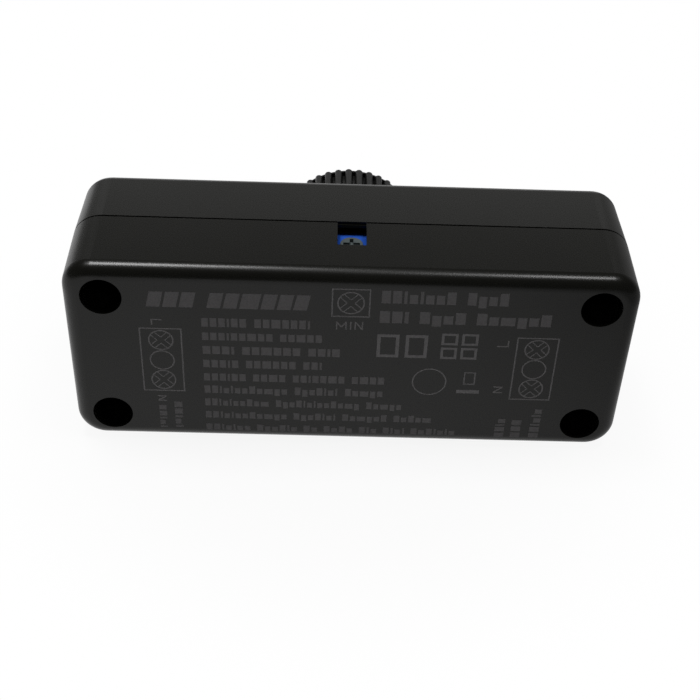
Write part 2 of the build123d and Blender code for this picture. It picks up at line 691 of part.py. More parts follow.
def trimmer_rotor():
    """Cross-slotted adjuster on a short stem."""
    front = TRIMMER_FACE - ROTOR_PROUD
    back = TRIMMER_FACE + ROTOR_SINK - ROTOR_FIT
    rotor = along_y(ROTOR_RADIUS, front, back, DIAL_X, TRIMMER_AXIS)
    rotor += along_y(ROTOR_STEM_RADIUS, back, back + ROTOR_STEM_LENGTH, DIAL_X, TRIMMER_AXIS)
    slot_depth = ROTOR_SLOT
    for wide, tall in ((ROTOR_SLOT_LENGTH, ROTOR_SLOT), (ROTOR_SLOT, ROTOR_SLOT_LENGTH)):
        rotor -= block(wide, slot_depth, TRIMMER_AXIS - tall / 2, TRIMMER_AXIS + tall / 2,
                       DIAL_X, front + slot_depth / 2)
    return rotor


def trimmer_pins():
    """Solder pins of the trimmer."""
    return [pin_stub(TRIMMER_PIN_RADIUS, x, y) for x, y in trimmer_pin_places()]


# Parts on the board

def with_leads(body, places):
    """Add round leads that run from the seat on the board down through it."""
    for x, y in places:
        body += upright(LEAD_RADIUS, BOARD_BOTTOM - LEAD_STUB, BOARD_TOP, x, y)
    return body


def electrolytic_capacitor():
    """Aluminium can with a crimped groove near its foot."""
    groove = CAN_CRIMP_DEPTH
    groove_low = BOARD_TOP + CAN_CRIMP_RISE
    groove_high = groove_low + 2 * groove
    top = BOARD_TOP + CAN_HEIGHT
    can = turned([
        (0, BOARD_TOP),
        (CAN_RADIUS, BOARD_TOP),
        (CAN_RADIUS, groove_low),
        (CAN_RADIUS - groove, groove_low + groove),
        (CAN_RADIUS, groove_high),
        (CAN_RADIUS, top - groove),
        (CAN_RADIUS - groove, top),
        (0, top),
    ])
    return with_leads(Pos(BAY_X, ROW_Y, 0) * can, CAN_LEADS)


def film_capacitor():
    """Film capacitor in a moulded box."""
    top = BOARD_TOP + FILM_HEIGHT
    box = rounded_block(FILM_LENGTH, FILM_WIDTH, FILM_EDGE, BOARD_TOP, top, -BAY_X, -ROW_Y)
    return with_leads(box, FILM_LEADS)


def choke_core():
    """Ferrite drum between two flanges."""
    waist_low = BOARD_TOP + CHOKE_FLANGE
    waist_high = BOARD_TOP + CHOKE_HEIGHT - CHOKE_FLANGE
    top = BOARD_TOP + CHOKE_HEIGHT
    drum = turned([
        (0, BOARD_TOP), (CHOKE_RADIUS, BOARD_TOP), (CHOKE_RADIUS, waist_low), (CHOKE_WAIST, waist_low),
        (CHOKE_WAIST, waist_high), (CHOKE_RADIUS, waist_high), (CHOKE_RADIUS, top), (0, top),
    ])
    return with_leads(Pos(BAY_X, -ROW_Y, 0) * drum, CHOKE_LEADS)


def choke_winding():
    """Wound wire between the drum's flanges."""
    low = BOARD_TOP + CHOKE_FLANGE
    high = BOARD_TOP + CHOKE_HEIGHT - CHOKE_FLANGE
    winding = upright(CHOKE_WAIST + CHOKE_WIRE, low, high) - upright(CHOKE_WAIST, low, high)
    return Pos(BAY_X, -ROW_Y, 0) * winding


def varistor():
    """Coated disc standing on edge."""
    centre = BOARD_TOP + DISC_RADIUS
    disc = along_y(DISC_RADIUS, -DISC_THICKNESS / 2, DISC_THICKNESS / 2, -BAY_X, centre)
    disc = chamfer(disc.edges().filter_by(GeomType.CIRCLE), DISC_EDGE)
    foot = block(DISC_LEAD_PITCH + 2 * LEAD_RADIUS, DISC_THICKNESS / 2, BOARD_TOP, centre, -BAY_X)
    return with_leads(disc + foot, DISC_LEADS)


def fuse():
    """Round radial fuse."""
    return with_leads(upright(FUSE_RADIUS, BOARD_TOP, BOARD_TOP + FUSE_HEIGHT, -BAY_X, ROW_Y), FUSE_LEADS)


def power_transistors():
    """Two flat power transistors under the board, tab and leads soldered to it."""
    transistors = []
    width, length, thickness = DRIVER_BODY
    for side in SIDES:
        x = DIAL_X + side * DRIVER_PITCH / 2
        body = block(width, length, BOARD_BOTTOM - thickness, BOARD_BOTTOM, x)
        tab_y = length / 2 + DRIVER_TAB[1] / 2
        body += block(DRIVER_TAB[0], DRIVER_TAB[1], BOARD_BOTTOM - DRIVER_TAB[2], BOARD_BOTTOM, x, tab_y)
        lead_y = -length / 2 - DRIVER_LEAD[1] / 2
        for lead_side in SIDES:
            body += block(DRIVER_LEAD[0], DRIVER_LEAD[1], BOARD_BOTTOM - DRIVER_LEAD[2], BOARD_BOTTOM,
                          x + lead_side * DRIVER_LEAD_PITCH / 2, lead_y)
        transistors.append(body)
    return transistors


def control_chip():
    """Eight-lead chip under the board."""
    width, length, thickness = CHIP_BODY
    high = BOARD_BOTTOM - CHIP_LIFT
    chip = block(width, length, high - thickness, high, BAY_X)
    lead_x = (width + CHIP_LEAD[0]) / 2
    for side in SIDES:
        for step in FOUR_STEPS:
            chip += block(CHIP_LEAD[0], CHIP_LEAD[1], BOARD_BOTTOM - CHIP_LEAD[2], BOARD_BOTTOM,
                          BAY_X + side * lead_x, step * CHIP_LEAD_PITCH)
    return chip


def bridge_rectifier():
    """Four-lead rectifier between the choke and the can."""
    length, width, height = BRIDGE_BODY
    body = block(length, width, BOARD_TOP, BOARD_TOP + height, BAY_X)
    body = chamfer(body.faces().sort_by(Axis.Z)[-1].edges(), BRIDGE_EDGE)
    lead_y = (width + BRIDGE_LEAD[1]) / 2
    for x, y in corner_places(BRIDGE_LEAD_PITCH / 2, lead_y):
        body += block(BRIDGE_LEAD[0], BRIDGE_LEAD[1], BOARD_TOP, BOARD_TOP + BRIDGE_LEAD[2], BAY_X + x, y)
    return body


def chip_resistors():
    """Four small resistors in a row at the plain long edge of the board."""
    length, width, height = RESISTOR_BODY
    y = BOARD_HALF_WIDTH - RESISTOR_EDGE_GAP - width / 2
    places = [DIAL_X + step * RESISTOR_PITCH for step in FOUR_STEPS]
    return [block(length, width, BOARD_TOP, BOARD_TOP + height, x, y) for x in places]


# Standing it on its plain long side and writing each piece

def stand(shape):
    """From lying on the underside to standing, centred over the ground that it covers."""
    depth = CASE_HEIGHT + KNOB_STAND_OUT
    return Pos(0, -depth / 2, HALF_WIDTH) * Rotation(-90, 0, 0) * shape


def pieces():
    """Every node of the dimmer by name."""
    return {
        "bottom_shell": bottom_shell(),
        "top_shell": top_shell(),
        "case_screws": case_screws(),
        "cord_clamp_input": cord_clamp(ENDS["input"]),
        "cord_clamp_output": cord_clamp(ENDS["output"]),
        "clamp_screws": clamp_screws(),
        "circuit_board": circuit_board(),
        "board_screws": board_screws(),
        "input_terminal_housing": terminal_housing(ENDS["input"]),
        "output_terminal_housing": terminal_housing(ENDS["output"]),
        "terminal_cages": terminal_cages(),
        "terminal_screws": terminal_screws(),
        "knob": knob(),
        "pot_shaft": pot_shaft(),
        "wiper_carrier": wiper_carrier(),
        "wiper_contact": wiper_contact(),
        "pot_housing": pot_housing(),
        "pot_track": pot_track(),
        "pot_cover": pot_cover(),
        "pot_pins": pot_pins(),
        "trimmer_body": trimmer_body(),
        "trimmer_rotor": trimmer_rotor(),
        "trimmer_pins": trimmer_pins(),
        "electrolytic_capacitor": electrolytic_capacitor(),
        "film_capacitor": film_capacitor(),
        "choke_core": choke_core(),
        "choke_winding": choke_winding(),
        "varistor": varistor(),
        "fuse": fuse(),
        "power_transistors": power_transistors(),
        "control_chip": control_chip(),
        "bridge_rectifier": bridge_rectifier(),
        "chip_resistors": chip_resistors(),
    }


os.makedirs("parts", exist_ok=True)
for name, shape in pieces().items():
    solids = shape if isinstance(shape, list) else [shape]
    export_step(Compound(children=[stand(solid) for solid in solids]), f"parts/{name}.step")
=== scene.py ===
"""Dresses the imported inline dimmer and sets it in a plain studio, as the photograph shows it."""

import json
import logging
from dataclasses import dataclass
from enum import Enum
from math import atan2, pi, radians
from typing import Any

import bmesh
import bpy
from mathutils import Matrix, Vector


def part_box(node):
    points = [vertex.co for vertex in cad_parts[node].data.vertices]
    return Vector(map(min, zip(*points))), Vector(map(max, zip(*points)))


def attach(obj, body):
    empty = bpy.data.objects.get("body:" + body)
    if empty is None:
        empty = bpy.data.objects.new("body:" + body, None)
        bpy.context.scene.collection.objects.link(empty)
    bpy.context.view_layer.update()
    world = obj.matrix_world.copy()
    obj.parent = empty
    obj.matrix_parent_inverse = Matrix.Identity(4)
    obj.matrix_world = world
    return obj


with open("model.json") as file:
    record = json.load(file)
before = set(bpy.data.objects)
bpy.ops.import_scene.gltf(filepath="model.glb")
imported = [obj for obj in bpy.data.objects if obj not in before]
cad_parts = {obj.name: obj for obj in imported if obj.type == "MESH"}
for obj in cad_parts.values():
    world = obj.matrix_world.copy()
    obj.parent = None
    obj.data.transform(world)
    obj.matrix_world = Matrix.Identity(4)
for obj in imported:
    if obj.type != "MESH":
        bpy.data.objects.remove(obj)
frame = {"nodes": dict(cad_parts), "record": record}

LOG = logging.getLogger("dimmer")
MM = 0.001
WAVE_TURN = 20.0

Tree = bpy.types.NodeTree
Node = bpy.types.Node
Socket = bpy.types.NodeSocket
Point = tuple[float, float]


# Helpers for places, colours and nodes

def linear(hex_colour: str) -> tuple[float, float, float, float]:
    """Turn an sRGB hex colour to the linear values that a shader takes.

    Args:
        hex_colour: Six hex digits after a hash sign.

    Returns:
        Red, green, blue and an alpha of 1.
    """
    channels = []
    for start in (1, 3, 5):
        value = int(hex_colour[start:start + 2], 16) / 255
        channels.append(value / 12.92 if value <= 0.04045 else ((value + 0.055) / 1.055) ** 2.4)
    return channels[0], channels[1], channels[2], 1.0


def per_metre(size_mm: float) -> float:
    """Give the texture scale at which one cell of a pattern is that many millimetres."""
    return 1.0 / (size_mm * MM)


def waves_per_metre(pitch_mm: float) -> float:
    """Give the wave texture's scale for bands so far apart: it turns by 20 radians in a unit."""
    return per_metre(pitch_mm) * 2 * pi / WAVE_TURN


def add(tree: Tree, kind: str, values: dict[str, Any] | None = None,
        links: dict[str, Socket] | None = None, **settings: Any) -> Node:
    """Add a node, with its settings, its socket values and what is linked into it.

    Args:
        tree: The node tree it goes into.
        kind: Blender's type name of the node.
        values: Constant values by socket identifier.
        links: Output sockets by the identifier of the input that each feeds.
        settings: The node's own properties.

    Returns:
        The new node.
    """
    node = tree.nodes.new(kind)
    for key, value in settings.items():
        setattr(node, key, value)
    sockets = {socket.identifier: socket for socket in node.inputs}
    for key, value in (values or {}).items():
        sockets[key].default_value = value
    for key, source in (links or {}).items():
        tree.links.new(source, sockets[key])
    return node


def output(node: Node, identifier: str) -> Socket:
    """Find an output socket by its identifier."""
    return next(socket for socket in node.outputs if socket.identifier == identifier)


# Finishes

@dataclass(frozen=True)
class Finish:
    """A surface finish. A subclass draws its pattern on the object's own coordinates."""

    name: str

    def surface(self, tree: Tree, place: Socket) -> Node:
        """Build the shader node of this finish.

        Args:
            tree: The material's node tree.
            place: Object coordinates, in metres.

        Returns:
            The node whose BSDF output is the surface.
        """
        raise NotImplementedError

    def material(self) -> bpy.types.Material:
        """Make the material, or give the one made before."""
        made = bpy.data.materials.get(self.name)
        if made is None:
            made = bpy.data.materials.new(self.name)
            made.use_nodes = True
            tree = made.node_tree
            tree.nodes.clear()
            place = add(tree, "ShaderNodeTexCoord").outputs["Object"]
            shader = self.surface(tree, place)
            add(tree, "ShaderNodeOutputMaterial", links={"Surface": shader.outputs["BSDF"]})
        return made


@dataclass(frozen=True)
class MouldedPlastic(Finish):
    """Injection-moulded plastic with the fine grain of a spark-eroded mould.

    The grain scatters the highlights a little, and the melt's flow gives a slow change of tone.
    """

    colour: str
    deep_colour: str
    roughness: float = 0.4
    roughness_spread: float = 0.05
    grain_mm: float = 0.25
    grain_depth_mm: float = 0.004
    flow_mm: float = 9.0
    specular: float = 0.5
    ior: float = 1.53

    def surface(self, tree: Tree, place: Socket) -> Node:
        """Build the plastic: slow tone, fine grain in gloss and height."""
        flow = add(tree, "ShaderNodeTexNoise", {"Scale": per_metre(self.flow_mm), "Detail": 3.0},
                   {"Vector": place})
        tone = add(tree, "ShaderNodeMix",
                   {"A_Color": linear(self.colour), "B_Color": linear(self.deep_colour)},
                   {"Factor_Float": flow.outputs["Fac"]}, data_type="RGBA")
        grain = add(tree, "ShaderNodeTexNoise", {"Scale": per_metre(self.grain_mm), "Detail": 2.0},
                    {"Vector": place})
        gloss = add(tree, "ShaderNodeMapRange",
                    {"To Min": self.roughness - self.roughness_spread,
                     "To Max": self.roughness + self.roughness_spread},
                    {"Value": grain.outputs["Fac"]})
        bump = add(tree, "ShaderNodeBump", {"Distance": self.grain_depth_mm * MM},
                   {"Height": grain.outputs["Fac"]})
        return add(tree, "ShaderNodeBsdfPrincipled",
                   {"IOR": self.ior, "Specular IOR Level": self.specular},
                   {"Base Color": output(tone, "Result_Color"),
                    "Roughness": gloss.outputs["Result"],
                    "Normal": bump.outputs["Normal"]})


@dataclass(frozen=True)
class PlatedMetal(Finish):
    """Plated or turned metal. Fine lines across it stretch the highlight along them."""

    colour: str
    dull_colour: str
    roughness: float = 0.3
    roughness_spread: Point = (-0.08, 0.1)
    line_mm: float = 0.12
    line_stretch: float = 12.0
    line_depth_mm: float = 0.002
    cloud_mm: float = 2.5

    def surface(self, tree: Tree, place: Socket) -> Node:
        """Build the metal: fine stretched lines in gloss and height, and cloudy dull spots."""
        stretched = add(tree, "ShaderNodeMapping",
                        {"Scale": (1.0, self.line_stretch, self.line_stretch)}, {"Vector": place})
        lines = add(tree, "ShaderNodeTexNoise",
                    {"Scale": per_metre(self.line_mm * self.line_stretch), "Detail": 2.0},
                    {"Vector": stretched.outputs["Vector"]})
        cloud = add(tree, "ShaderNodeTexNoise", {"Scale": per_metre(self.cloud_mm), "Detail": 3.0},
                    {"Vector": place})
        tone = add(tree, "ShaderNodeMix",
                   {"A_Color": linear(self.colour), "B_Color": linear(self.dull_colour)},
                   {"Factor_Float": cloud.outputs["Fac"]}, data_type="RGBA")
        gloss = add(tree, "ShaderNodeMapRange",
                    {"To Min": self.roughness + self.roughness_spread[0],
                     "To Max": self.roughness + self.roughness_spread[1]},
                    {"Value": lines.outputs["Fac"]})
        bump = add(tree, "ShaderNodeBump", {"Distance": self.line_depth_mm * MM},
                   {"Height": lines.outputs["Fac"]})
        return add(tree, "ShaderNodeBsdfPrincipled", {"Metallic": 1.0},
                   {"Base Color": output(tone, "Result_Color"),
                    "Roughness": gloss.outputs["Result"],
                    "Normal": bump.outputs["Normal"]})


@dataclass(frozen=True)
class BoardLaminate(Finish):
    """Glass-epoxy board under green lacquer. Copper fields show through as a lighter green."""

    lacquer: str
    copper_green: str
    field_mm: float = 3.2
    field_border: Point = (0.08, 0.11)
    weave_mm: float = 0.8
    weave_sway: float = 0.6
    weave_depth_mm: float = 0.01
    roughness: float = 0.32
    ior: float = 1.5

    def surface(self, tree: Tree, place: Socket) -> Node:
        """Build the board: copper fields with sharp borders, and the glass weave in low relief."""
        cells = add(tree, "ShaderNodeTexVoronoi", {"Scale": per_metre(self.field_mm)},
                    {"Vector": place}, feature="DISTANCE_TO_EDGE", distance="EUCLIDEAN")
        fields = add(tree, "ShaderNodeMapRange",
                     {"From Min": self.field_border[0], "From Max": self.field_border[1]},
                     {"Value": cells.outputs["Distance"]})
        tone = add(tree, "ShaderNodeMix",
                   {"A_Color": linear(self.lacquer), "B_Color": linear(self.copper_green)},
                   {"Factor_Float": fields.outputs["Result"]}, data_type="RGBA")
        weave = add(tree, "ShaderNodeTexWave",
                    {"Scale": waves_per_metre(self.weave_mm), "Distortion": self.weave_sway},
                    {"Vector": place}, wave_type="BANDS", bands_direction="DIAGONAL")
        bump = add(tree, "ShaderNodeBump", {"Distance": self.weave_depth_mm * MM},
                   {"Height": weave.outputs["Fac"]})
        return add(tree, "ShaderNodeBsdfPrincipled", {"Roughness": self.roughness, "IOR": self.ior},
                   {"Base Color": output(tone, "Result_Color"), "Normal": bump.outputs["Normal"]})


@dataclass(frozen=True)
class SpeckledSolid(Finish):
    """Dense matrix with grains of a second colour, as sintered ferrite or pressed laminate has."""

    colour: str
    speck_colour: str
    speck_mm: float = 0.3
    speck_edge: Point = (0.42, 0.62)
    roughness: float = 0.6
    relief_mm: float = 0.01

    def surface(self, tree: Tree, place: Socket) -> Node:
        """Build the grains as a two-tone noise with a little relief."""
        specks = add(tree, "ShaderNodeTexNoise", {"Scale": per_metre(self.speck_mm), "Detail": 4.0},
                     {"Vector": place})
        share = add(tree, "ShaderNodeMapRange",
                    {"From Min": self.speck_edge[0], "From Max": self.speck_edge[1]},
                    {"Value": specks.outputs["Fac"]})
        tone = add(tree, "ShaderNodeMix",
                   {"A_Color": linear(self.colour), "B_Color": linear(self.speck_colour)},
                   {"Factor_Float": share.outputs["Result"]}, data_type="RGBA")
        bump = add(tree, "ShaderNodeBump", {"Distance": self.relief_mm * MM},
                   {"Height": specks.outputs["Fac"]})
        return add(tree, "ShaderNodeBsdfPrincipled", {"Roughness": self.roughness},
                   {"Base Color": output(tone, "Result_Color"), "Normal": bump.outputs["Normal"]})


@dataclass(frozen=True)
class WoundWire(Finish):
    """Enamelled copper wire wound side by side. Each turn is a rounded band round the winding, with
    painted shade in the crevices between turns.
    """

    colour: str
    # Painted shade in the crevices between the turns.
    crevice_shade_colour: str
    wire_mm: float = 0.35
    wire_sway: float = 0.2
    metallic: float = 0.8
    roughness: float = 0.28

    def surface(self, tree: Tree, place: Socket) -> Node:
        """Build the turns as bands along the choke's axis, with painted shade between them."""
        turns = add(tree, "ShaderNodeTexWave",
                    {"Scale": waves_per_metre(self.wire_mm), "Distortion": self.wire_sway},
                    {"Vector": place}, wave_type="BANDS", bands_direction="Y")
        tone = add(tree, "ShaderNodeMix",
                   {"A_Color": linear(self.crevice_shade_colour), "B_Color": linear(self.colour)},
                   {"Factor_Float": turns.outputs["Fac"]}, data_type="RGBA")
        bump = add(tree, "ShaderNodeBump", {"Distance": self.wire_mm * MM / 2},
                   {"Height": turns.outputs["Fac"]})
        return add(tree, "ShaderNodeBsdfPrincipled",
                   {"Metallic": self.metallic, "Roughness": self.roughness},
                   {"Base Color": output(tone, "Result_Color"), "Normal": bump.outputs["Normal"]})


@dataclass(frozen=True)
class PrintedInk(Finish):
    """Pad-printed ink, a dim grey on black. Where its coat is thin, the plastic shows in specks."""

    colour: str
    thin_colour: str
    roughness: float = 0.5
    specular: float = 0.3
    speck_mm: float = 0.18
    coat_edge: Point = (0.35, 0.65)

    def surface(self, tree: Tree, place: Socket) -> Node:
        """Build the ink: full tone with specks where the coat is thin."""
        specks = add(tree, "ShaderNodeTexNoise", {"Scale": per_metre(self.speck_mm), "Detail": 2.0},
                     {"Vector": place})
        share = add(tree, "ShaderNodeMapRange",
                    {"From Min": self.coat_edge[0], "From Max": self.coat_edge[1]},
                    {"Value": specks.outputs["Fac"]})
        tone = add(tree, "ShaderNodeMix",
                   {"A_Color": linear(self.thin_colour), "B_Color": linear(self.colour)},
                   {"Factor_Float": share.outputs["Result"]}, data_type="RGBA")
        return add(tree, "ShaderNodeBsdfPrincipled",
                   {"Roughness": self.roughness, "Specular IOR Level": self.specular},
                   {"Base Color": output(tone, "Result_Color")})


# Black ABS, moulded: near-black, with a soft satin sheen and narrow bright lines along the edges.
CASE_ABS = MouldedPlastic("case_abs_moulded", "#141411", "#10100d", roughness=0.27,
                          roughness_spread=0.02, grain_depth_mm=0.001, specular=0.22)
# Black ABS of the knob: the same resin from a plainer mould, a little duller on the ribs.
KNOB_ABS = MouldedPlastic("knob_abs_moulded", "#1b1b1a", "#151514", roughness=0.34, specular=0.25)
# Black nylon: duller and deeper than the case.
CLAMP_NYLON = MouldedPlastic("clamp_nylon_moulded", "#1a1a1a", "#121212", roughness=0.5)
# Green polyamide of the input terminals: waxy, mid-green.
GREEN_POLYAMIDE = MouldedPlastic("green_polyamide_moulded", "#218040", "#1b6a35", roughness=0.38)
# Blue polyamide of the output terminals: waxy, mid-blue.
BLUE_POLYAMIDE = MouldedPlastic("blue_polyamide_moulded", "#2b56a8", "#234a92", roughness=0.38)
# Glass-filled moulding of the trimmer: bright blue with a wet gloss.
TRIMMER_BLUE = MouldedPlastic("trimmer_blue_moulded", "#2c5cc0", "#1f48a4", roughness=0.22,
                              flow_mm=1.6)
# Acetal rotor: painted shade turns its white to a dull grey, the tone it has deep in the side
# window, and its darker random clouds are painted shade too.
TRIMMER_SHADED_ACETAL = MouldedPlastic("trimmer_acetal_painted_shade", "#5c6563", "#30373d", roughness=0.42,
                               flow_mm=0.9)
# Zinc-plated steel: grey with a faint yellow cast, lined by the thread rolling.
ZINC_STEEL = PlatedMetal("screw_steel_zinc_plated", "#9a9994", "#7d7c78", roughness=0.38)
# Tinned copper alloy: pale, smeared and soft in its reflections.
TINNED_METAL = PlatedMetal("contact_metal_tinned", "#bdbcb7", "#a3a29d", roughness=0.32)
# Turned aluminium of the shaft: light, with rings from the lathe.
TURNED_ALUMINIUM = PlatedMetal("shaft_aluminium_turned", "#c4c5c6", "#b0b1b3", roughness=0.26)
# Glass-epoxy laminate under lacquer: deep green with lighter copper fields.
BOARD_GREEN = BoardLaminate("board_laminate_lacquered", "#0f4526", "#1c6238")
# Phenolic laminate of the track: brown with paper fibres.
PHENOLIC = SpeckledSolid("track_phenolic_pressed", "#553820", "#6b4a2c", speck_mm=0.4,
                         roughness=0.5)
# Black filled resin: dull, with a mould's fine grain.
BLACK_RESIN = MouldedPlastic("component_resin_moulded", "#161616", "#101010", roughness=0.55)
# Natural acetal: milky white.
NATURAL_ACETAL = MouldedPlastic("carrier_acetal_moulded", "#dcd9cf", "#cfccc0", roughness=0.4)
# Shrink sleeve on the can: dark blue film, tight and glossy.
CAN_SLEEVE = MouldedPlastic("can_sleeve_shrunk", "#141d3c", "#0f1730", roughness=0.2, flow_mm=4.0)
# Polyester box of the film capacitor: ochre yellow.
FILM_BOX = MouldedPlastic("film_box_moulded", "#cdb83f", "#b7a336", roughness=0.42)
# Sintered ferrite: charcoal with fine light grains.
FERRITE = SpeckledSolid("choke_ferrite_sintered", "#292626", "#423f3f", speck_mm=0.25,
                        roughness=0.7)
# Enamelled copper wire: warm orange-brown bands, with dark brown painted shade between the turns.
COPPER_WIRE = WoundWire("choke_wire_enamelled", "#b8652c", "#4a2410")
# Dipped epoxy of the varistor: blue, thick and slightly lumpy.
VARISTOR_EPOXY = MouldedPlastic("varistor_epoxy_dipped", "#1a4d9e", "#154084", roughness=0.25,
                                grain_mm=1.4, grain_depth_mm=0.03)
# Moulded case of the fuse: brown and plain.
FUSE_CASE = MouldedPlastic("fuse_case_moulded", "#4d2919", "#402115", roughness=0.45)
# Pad-printed ink: mid-grey line drawings on the black face.
LABEL_INK = PrintedInk("label_ink_pad_printed", "#656364", "#575556")
# The same ink in a thinner coat: the words are a tone nearer to the plastic.
THIN_INK = PrintedInk("label_ink_thin_coat", "#545253", "#474546")

FINISH_OF_SLOT: dict[str, Finish] = {
    "case_plastic": CASE_ABS,
    "knob_plastic": KNOB_ABS,
    "clamp_plastic": CLAMP_NYLON,
    "board": BOARD_GREEN,
    "green_plastic": GREEN_POLYAMIDE,
    "blue_plastic": BLUE_POLYAMIDE,
    "trimmer_blue": TRIMMER_BLUE,
    "trimmer_white": TRIMMER_SHADED_ACETAL,
    "screw_steel": ZINC_STEEL,
    "tinned_metal": TINNED_METAL,
    "shaft_metal": TURNED_ALUMINIUM,
    "phenolic": PHENOLIC,
    "black_resin": BLACK_RESIN,
    "white_plastic": NATURAL_ACETAL,
    "can_sleeve": CAN_SLEEVE,
    "film_box": FILM_BOX,
    "ferrite": FERRITE,
    "copper_wire": COPPER_WIRE,
    "varistor_coat": VARISTOR_EPOXY,
    "fuse_case": FUSE_CASE,
}
SLOT_OF_NODE: dict[str, str] = {part["node"]: part["material_slot"]
                                for part in frame["record"]["subparts"]}


def dress(nodes: tuple[str, ...]) -> None:
    """Give CAD nodes the finish of their slot in the record.

    Args:
        nodes: Names of CAD nodes.
    """
    for name in nodes:
        finish = FINISH_OF_SLOT[SLOT_OF_NODE[name]]
        node = frame["nodes"][name]
        node.data.materials.clear()
        node.data.materials.append(finish.material())
        LOG.info("%s: %s", name, finish.name)


def piece(name: str, mesh_data: bmesh.types.BMesh, body: str,
          finish: Finish) -> bpy.types.Object:
    """Turn a finished bmesh into a piece that rides on a body.

    Args:
        name: The piece's name.
        mesh_data: The bmesh, in metres in the row frame. It is freed here.
        body: The CAD body that it moves with.
        finish: Its finish.

    Returns:
        The new object.
    """
    bmesh.ops.recalc_face_normals(mesh_data, faces=mesh_data.faces[:])
    mesh = bpy.data.meshes.new(name)
    mesh_data.to_mesh(mesh)
    mesh_data.free()
    made = bpy.data.objects.new(name, mesh)
    bpy.context.scene.collection.objects.link(made)
    mesh.materials.append(finish.material())
    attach(made, body)
    LOG.info("%s: %d faces", name, len(mesh.polygons))
    return made


# Print on the label face

class Reading(Enum):
    """Which way a line of print runs on the label face, as a turn in degrees."""

    ACROSS = 0
    DOWN = -90
    UP = 90


class LetterBlock(Enum):
    """Plain blocks that stand for letters: width in cells, foot and head in capitals' heights."""

    CAPITAL = (1.0, 0.0, 1.0)
    BROAD = (1.3, 0.0, 1.0)
    SMALL = (0.95, 0.0, 0.72)
    THIN = (0.5, 0.0, 0.98)
    HANGING = (0.92, -0.2, 0.72)
    WIDE = (1.35, 0.0, 0.7)


class Setting(Enum):
    """The blocks that follow each other in a row: of figures and capitals, or of small letters."""

    FIGURES = (LetterBlock.CAPITAL, LetterBlock.CAPITAL, LetterBlock.THIN, LetterBlock.CAPITAL,
               LetterBlock.BROAD, LetterBlock.CAPITAL, LetterBlock.CAPITAL)
    LETTERS = (LetterBlock.SMALL, LetterBlock.THIN, LetterBlock.SMALL, LetterBlock.CAPITAL,
               LetterBlock.SMALL, LetterBlock.WIDE, LetterBlock.THIN, LetterBlock.SMALL,
               LetterBlock.HANGING, LetterBlock.SMALL, LetterBlock.CAPITAL)


@dataclass(frozen=True)
class PrintSpot:
    """Where a bit of print starts on the face, in millimetres, its reading and its lean."""

    corner: Point
    reading: Reading = Reading.ACROSS
    slant: float = 0.0

    def point(self, along: float, up: float) -> Point:
        """Give the face's point that lies so far along the print's line and above it."""
        turn = Matrix.Rotation(radians(self.reading.value), 2)
        turned = turn @ Vector((along + self.slant * up, up))
        return self.corner[0] + turned.x, self.corner[1] + turned.y


@dataclass(frozen=True)
class WordRow:
    """A line of print drawn as word-long runs of plain blocks, in millimetres on the face."""

    spot: PrintSpot
    length: float
    height: float
    words: tuple[int, ...]
    setting: Setting = Setting.FIGURES
    letter_gap: float = 0.3


@dataclass(frozen=True)
class FrameSign:
    """A plain rectangle on the face: its middle, outer size and line width, in millimetres."""

    middle: Point
    size: Point
    line: float


